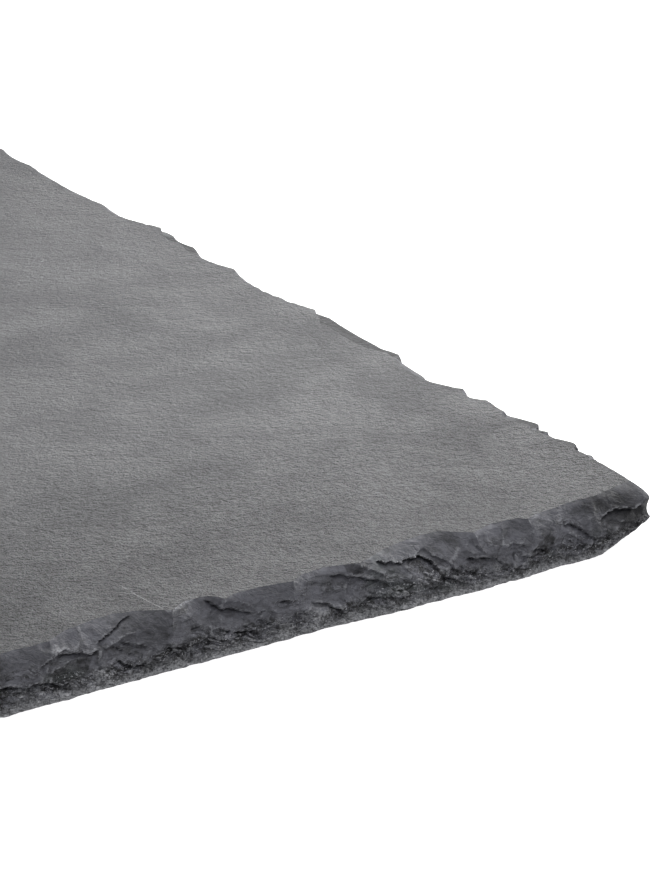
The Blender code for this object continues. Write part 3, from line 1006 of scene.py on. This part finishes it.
def addUp(tree, start, parts):
    # start plus each grain's swing either side of its middle, times its weight
    total = start
    for value, weight in parts:
        swing = calc(tree, "SUBTRACT", value, 0.5)
        total = calc(tree, "ADD", total, times(tree, swing, weight))
    return total


def layBumps(tree, shader, layers):
    normal = None
    for height, depth, strength in layers:
        inputs = {"Height": height, "Distance": depth * mm, "Strength": strength}
        if normal:
            inputs["Normal"] = normal
        normal = addNode(tree, "ShaderNodeBump", inputs).outputs["Normal"]
    tree.links.new(normal, shader.inputs["Normal"])


def chipCells(tree, where, perMm, randomness=1.0):
    # distance from the middle of each chip, for hollows that meet in crisp ridges, and its own tone
    cells = addNode(
        tree, "ShaderNodeTexVoronoi", {"Vector": where, "Scale": perMm, "Randomness": randomness}
    )
    tone = addNode(tree, "ShaderNodeSeparateColor", {"Color": cells.outputs["Color"]}).outputs["Red"]
    return cells.outputs["Distance"], tone


def pushAbout(tree, where, perMm, swing):
    # the coordinates, moved by a grain, so that cells lose their even shape
    noise = addNode(tree, "ShaderNodeTexNoise", {"Vector": where, "Scale": perMm, "Detail": 2.0})
    middle = addNode(
        tree, "ShaderNodeVectorMath", {0: noise.outputs["Color"], 1: (0.5, 0.5, 0.5)}, operation="SUBTRACT"
    )
    shift = addNode(
        tree, "ShaderNodeVectorMath", {0: middle.outputs["Vector"], "Scale": swing}, operation="SCALE"
    )
    moved = addNode(tree, "ShaderNodeVectorMath", {0: where, 1: shift.outputs["Vector"]}, operation="ADD")
    return moved.outputs["Vector"]


# the split faces: dull mid grey, mottled, with a fine short grain
cleftLook = {
    "dark": (0.0215, 0.0218, 0.024),
    "light": (0.0975, 0.098, 0.1058),
    "scratch": (0.30, 0.30, 0.31),
    # the thin pale scratch that runs in from the front edge, in millimetres
    "line": {"x": 98.3, "slant": -0.065, "from": -97.2, "to": -90.0, "wide": 0.11},
    "grainNear": (-93.0, 1.2),  # place across the slab in millimetres, and how strong the grain is there
    "grainFar": (-60.0, 0.40),
    "toneSwings": (0.3, 0.2),  # how much the broad and the patchy grain count in the tone
    "grainSwings": (0.9, 1.5, 1.6),  # the same for the short, small and fine grain
    "grainHigh": (0.46, 0.46, 0.18),  # and how high that grain stands
    "speckShare": 0.4,
    "lineShare": 0.7,
    "roughness": (0.46, 0.62),
    "specular": 0.5,
}


def cleftSlate():
    look = cleftLook
    material, tree, shader, where = newMaterial("cleftSlate")
    stretched = turned(tree, where, (0.8, 1.0, 1.0), (0, 0, 0.35))
    broad = grain(tree, where, 0.022, 3.0)
    patch = grain(tree, where, 0.11, 4.0, 0.6, 0.6)
    short = grain(tree, stretched, 1.15, 3.0, 0.65, 0.5)
    small = grain(tree, stretched, 2.6, 3.0, 0.65, 0.4)
    fine = grain(tree, where, 6.0, 2.0, 0.6)
    grains = (short, small, fine)
    # the grain stands out more towards the front, where the sheet split less cleanly
    place = addNode(tree, "ShaderNodeSeparateXYZ", {"Vector": where})
    across, along = place.outputs["X"], place.outputs["Y"]
    near, far = look["grainNear"], look["grainFar"]
    relief = spread(tree, along, near[0], far[0], near[1], far[1])
    swing = times(tree, addUp(tree, 0.0, zip(grains, look["grainSwings"])), relief)
    tone = calc(tree, "ADD", addUp(tree, 0.52, zip((broad, patch), look["toneSwings"])), swing)
    colour = tint(tree, spread(tree, tone, 0.0, 1.0), look["dark"], look["light"])
    # stray pale specks
    dots = addNode(tree, "ShaderNodeTexVoronoi", {"Vector": where, "Scale": 0.30}).outputs["Distance"]
    speck = spread(tree, dots, 0.07, 0.02)
    colour = tint(tree, times(tree, speck, look["speckShare"]), colour, look["scratch"])
    # the scratch: a slanting line that fades at both ends
    line = look["line"]
    starts = spread(tree, along, line["from"], line["from"] + 0.4)
    stops = spread(tree, along, line["to"], line["to"] - 1.5)
    slant = times(tree, calc(tree, "ADD", along, -line["from"]), line["slant"])
    middle = addUp(tree, calc(tree, "ADD", line["x"], slant), ((small, 0.12),))
    off = calc(tree, "ABSOLUTE", calc(tree, "SUBTRACT", across, middle))
    scratch = times(tree, spread(tree, off, line["wide"], 0.2 * line["wide"]), times(tree, starts, stops))
    colour = tint(tree, times(tree, scratch, look["lineShare"]), colour, look["scratch"])
    tree.links.new(colour, shader.inputs["Base Color"])
    low, high = look["roughness"]
    tree.links.new(spread(tree, patch, 0.3, 0.7, low, high), shader.inputs["Roughness"])
    shader.inputs["Specular IOR Level"].default_value = look["specular"]
    raised = [(times(tree, height, relief), depth, 1.0) for height, depth in zip(grains, look["grainHigh"])]
    layBumps(tree, shader, [(patch, 0.15, 0.7)] + raised)
    return material


# the broken edge: near black painted shade in the hollows and cracks, ridges painted pale as highlights, a
# crushed grey foot partly painted paler in place of bounce light
brokenLook = {
    "dark": (0.014, 0.014, 0.0165),
    "light": (0.140, 0.142, 0.166),
    "green": (0.070, 0.080, 0.082),
    # near black, for the painted shade in the cracks and under the ledges
    "crack": (0.004, 0.004, 0.005),
    # pale colour for the painted highlights on rims and ridges, and for the rubbed arris
    "ridge": (0.28, 0.285, 0.31),
    "crushed": (0.42, 0.425, 0.45),
    # pale colour for the painted glints
    "spark": (0.62, 0.625, 0.66),
    "roughness": (0.34, 0.66),
    "specular": 0.36,
    "lean": -0.35,  # radians by which the split's grain runs down along the front edge
    "crackWide": 0.085,
    # how much each pattern counts in the tone, everywhere and where the stone is rough
    "calmTone": {"patch": 0.35, "blotch": 0.35, "facets": 1.0, "fine": 0.25},
    "roughTone": {"fine": 1.9, "dust": 0.9, "smallChips": 0.8, "chips": 0.8, "streak": 2.6},
    # and how high it stands where the stone is rough
    "high": {"chips": 0.26, "smallChips": 0.18, "fine": 0.17, "dust": 0.035, "streak": 0.6},
    "powderAndBounce": (1.5, 0.9),  # strength at the crushed foot, raised in part to stand in for the floor's bounce light, and in the bruises
    "glint": 0.55,
}


def mark(tree, name):
    return addNode(tree, "ShaderNodeAttribute", attribute_name=name).outputs["Fac"]


def crackLines(tree, where, perMm, wide):
    # 1 along the borders of cells, 0 elsewhere
    cells = addNode(
        tree, "ShaderNodeTexVoronoi", {"Vector": where, "Scale": perMm}, feature="DISTANCE_TO_EDGE"
    )
    return spread(tree, cells.outputs["Distance"], 0.0, wide * perMm, 1.0, 0.0)


def brokenSlate():
    look = brokenLook
    material, tree, shader, where = newMaterial("brokenSlate")
    layered = turned(tree, where, (0.7, 0.7, 1.5))
    jagged = pushAbout(tree, pushAbout(tree, layered, 0.5, 1.6), 2.2, 0.35)
    leaning = turned(tree, pushAbout(tree, where, 0.6, 1.2), (1, 1, 1), (0, look["lean"], 0))
    split = turned(tree, leaning, (0.45, 0.45, 1.9))
    rough, crush, pale, facets = [mark(tree, name) for name in ("rough", "crush", "pale", "tone")]
    patch = grain(tree, layered, 0.16, 3.0, 0.55, 0.8)
    blotch = grain(tree, layered, 0.55, 4.0, 0.6, 0.4)
    fine = grain(tree, where, 2.6, 4.0, 0.65)
    dust = grain(tree, where, 6.5, 2.0, 0.6)
    streak = grain(tree, split, 1.3, 4.0, 0.62)
    chips, chipTone = chipCells(tree, jagged, 1.1)
    smallChips, smallTone = chipCells(tree, jagged, 3.0)
    # broken runs of thin cracks painted near black as the shade inside them, more of them where the stone is
    # rough
    openShare = times(tree, spread(tree, blotch, 0.42, 0.52), rough)
    cracks = times(tree, crackLines(tree, split, 0.75, look["crackWide"]), openShare)
    openShare = times(tree, spread(tree, fine, 0.5, 0.6), rough)
    smallCracks = times(tree, crackLines(tree, split, 1.9, look["crackWide"] * 0.6), openShare)
    crack = calc(tree, "MAXIMUM", cracks, smallCracks)
    # painted shade under the ledges, carried in the crack mark
    shadeUnderLedges = times(tree, mark(tree, "crack"), spread(tree, fine, 0.32, 0.5))
    crack = calc(tree, "MAXIMUM", crack, shadeUnderLedges)
    # tone: each facet has its own, with finer swings where the stone is rougher
    tones = {"patch": patch, "blotch": blotch, "facets": facets, "fine": fine, "dust": dust}
    tones.update({"smallChips": smallTone, "chips": chipTone, "streak": streak})
    calmParts = [(tones[name], share) for name, share in look["calmTone"].items()]
    roughParts = [(tones[name], share) for name, share in look["roughTone"].items()]
    swing = times(tree, addUp(tree, 0.0, roughParts), rough)
    tone = calc(tree, "ADD", addUp(tree, 0.50, calmParts), swing)
    colour = tint(tree, spread(tree, tone, 0.0, 1.0), look["dark"], look["light"])
    colour = tint(tree, spread(tree, patch, 0.56, 0.72, 0.0, 0.7), colour, look["green"])
    # the cracks and the shade under the ledges are painted near black
    colour = tint(tree, crack, colour, look["crack"])
    # painted highlights: pale rims along the ledges and the sharpest ridges, together with the rubbed pale
    # arris
    ridge = spread(tree, mark(tree, "ridge"), 0.035, 0.09, 0.0, 0.6)
    rim = calc(tree, "MAXIMUM", mark(tree, "rim"), ridge)
    # worn here is the painted highlight on rims and ridges, plus the arris wear
    worn = times(tree, rim, spread(tree, fine, 0.38, 0.58, 0.0, 1.0))
    colour = tint(tree, worn, colour, look["ridge"])
    # pale powder in bruises and along the foot, the foot's share partly painted light in place of the
    # floor's bounce; then glints painted as bright grains
    atFoot, atBruise = look["powderAndBounce"]
    bruise = calc(tree, "ADD", times(tree, crush, atFoot), times(tree, pale, atBruise))
    patchy = times(tree, spread(tree, fine, 0.38, 0.56, 0.45, 1.0), spread(tree, dust, 0.40, 0.60, 0.4, 1.0))
    powderAndBounce = calc(tree, "MULTIPLY", bruise, patchy, clamp=True)
    colour = tint(tree, powderAndBounce, colour, look["crushed"])
    # painted highlights: glints painted as bright streaks and specks, kept out of the cracks
    glint = times(tree, spread(tree, streak, 0.50, 0.56), spread(tree, blotch, 0.43, 0.52))
    glint = times(tree, glint, spread(tree, fine, 0.44, 0.52))
    sparkle = calc(tree, "MAXIMUM", spread(tree, dust, 0.62, 0.68), times(tree, glint, look["glint"]))
    sparkle = times(tree, sparkle, calc(tree, "SUBTRACT", 1.0, crack))
    colour = tint(tree, times(tree, sparkle, spread(tree, rough, 0.15, 1.0)), colour, look["spark"])
    tree.links.new(colour, shader.inputs["Base Color"])
    low, high = look["roughness"]
    shine = addUp(tree, 0.25, ((blotch, 0.8), (facets, 0.3)))
    dull = calc(tree, "ADD", shine, times(tree, crush, 0.8), clamp=True)
    tree.links.new(spread(tree, dull, 0.0, 1.0, low, high), shader.inputs["Roughness"])
    sheen = spread(tree, mark(tree, "matt"), 0.0, 1.0, look["specular"], 0.03)
    tree.links.new(sheen, shader.inputs["Specular IOR Level"])
    heights = {"chips": chips, "smallChips": smallChips, "fine": fine, "dust": dust, "streak": streak}
    layers = [(blotch, 0.2, 0.6), (fine, 0.03, 0.8)]
    layers += [(times(tree, heights[name], rough), high, 1.0) for name, high in look["high"].items()]
    layers += [(calc(tree, "SUBTRACT", 1.0, crack), 0.12, 1.0)]
    layBumps(tree, shader, layers)
    return material


print("building the slab")
slab = bpy.data.objects.new("slateSlab", buildSlabMesh())
bpy.context.scene.collection.objects.link(slab)
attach(slab, "root")
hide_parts("slate_slab")

print("finishing the stone")
slab.data.materials.append(cleftSlate())
slab.data.materials.append(brokenSlate())

studio = {
    "floorSize": 4.0,
    "floorGrey": 0.82,
    "floorGlow": 0.85,  # a table lit a little from underneath, so that it stays white
    "skyTowards": (0.88, 0.42, 0.20),  # where the sky is brightest
    "skyBack": 2.1,
    "skyFront": 0.50,
    "skyBelow": 0.60,
    "overhead": {"at": (0.15, 0.1, 1.1), "aim": (0.12, -0.03, 0.0), "size": (1.3, 1.3), "watts": 4.5},
    "strip": {"at": (0.29, 0.03, 0.085), "aim": (0.14, -0.07, 0.0), "size": (0.22, 0.05), "watts": 0.175},
}


def addFloor():
    half = studio["floorSize"] / 2
    low = -0.05 * mm
    mesh = bpy.data.meshes.new("studioFloor")
    outline = [(-half, -half, low), (half, -half, low), (half, half, low), (-half, half, low)]
    mesh.from_pydata(outline, [], [(0, 1, 2, 3)])
    floor = bpy.data.objects.new("studioFloor", mesh)
    bpy.context.scene.collection.objects.link(floor)
    material, tree, shader, where = newMaterial("palePaper")
    grey = studio["floorGrey"]
    paper = grain(tree, where, 0.02, 2.0)
    colour = tint(tree, paper, (grey, grey, grey), (grey + 0.03, grey + 0.03, grey + 0.03))
    tree.links.new(colour, shader.inputs["Base Color"])
    shader.inputs["Roughness"].default_value = 0.9
    shader.inputs["Emission Color"].default_value = (1.0, 1.0, 1.0, 1.0)
    shader.inputs["Emission Strength"].default_value = studio["floorGlow"]
    mesh.materials.append(material)
    floor.visible_diffuse = False  # a bright floor would wash the undercuts out
    floor.visible_glossy = False


def addSoftbox(name, plan):
    light = bpy.data.lights.new(name, "AREA")
    light.shape = "RECTANGLE"
    light.size, light.size_y = plan["size"]
    light.energy = plan["watts"]
    box = bpy.data.objects.new(name, light)
    bpy.context.scene.collection.objects.link(box)
    box.location = plan["at"]
    box.visible_camera = False
    towards = Vector(plan["aim"]) - Vector(plan["at"])
    box.rotation_euler = towards.to_track_quat("-Z", "Y").to_euler()


def addSky():
    # bright at the back, dim in front and below
    world = bpy.data.worlds.new("studioSky")
    bpy.context.scene.world = world
    world.use_nodes = True
    tree = world.node_tree
    around = addNode(tree, "ShaderNodeTexCoord").outputs["Generated"]
    height = addNode(tree, "ShaderNodeSeparateXYZ", {"Vector": around}).outputs["Z"]
    ways = {0: around, 1: studio["skyTowards"]}
    behind = addNode(tree, "ShaderNodeVectorMath", ways, operation="DOT_PRODUCT")
    front, back, below = studio["skyFront"], studio["skyBack"], studio["skyBelow"]
    share = spread(tree, behind.outputs["Value"], 0.35, 1.0)
    above = tint(tree, share, (front, front, front), (back, back, back))
    colour = tint(tree, spread(tree, height, -0.12, 0.08), (below, below, below), above)
    tree.links.new(colour, tree.nodes["Background"].inputs["Color"])


# where the camera stands: azimuth and elevation in degrees, the rest in millimetres
camera = {
    "azimuth": -33.5,
    "elevation": 22.1,
    "distance": 350.0,
    "aim": (130.1, -75.25, 5.1),
    "lens": 152.4,
    "sensor": 36.0,
}


def addCamera():
    azimuth, elevation = math.radians(camera["azimuth"]), math.radians(camera["elevation"])
    back = Vector((
        math.sin(azimuth) * math.cos(elevation),
        -math.cos(azimuth) * math.cos(elevation),
        math.sin(elevation),
    ))
    lens = bpy.data.cameras.new("slabCamera")
    lens.lens = camera["lens"]
    lens.sensor_width = camera["sensor"]
    lens.clip_start = 0.01
    lens.clip_end = 20.0
    body = bpy.data.objects.new("slabCamera", lens)
    bpy.context.scene.collection.objects.link(body)
    body.location = (Vector(camera["aim"]) + back * camera["distance"]) * mm
    body.rotation_euler = (-back).to_track_quat("-Z", "Y").to_euler()
    bpy.context.scene.camera = body


print("setting up the studio")
addFloor()
addSky()
addSoftbox("overheadBox", studio["overhead"])
addSoftbox("stripBox", studio["strip"])
addCamera()
bpy.context.scene.view_settings.view_transform = "Standard"

bpy.context.view_layer.update()
print("done")
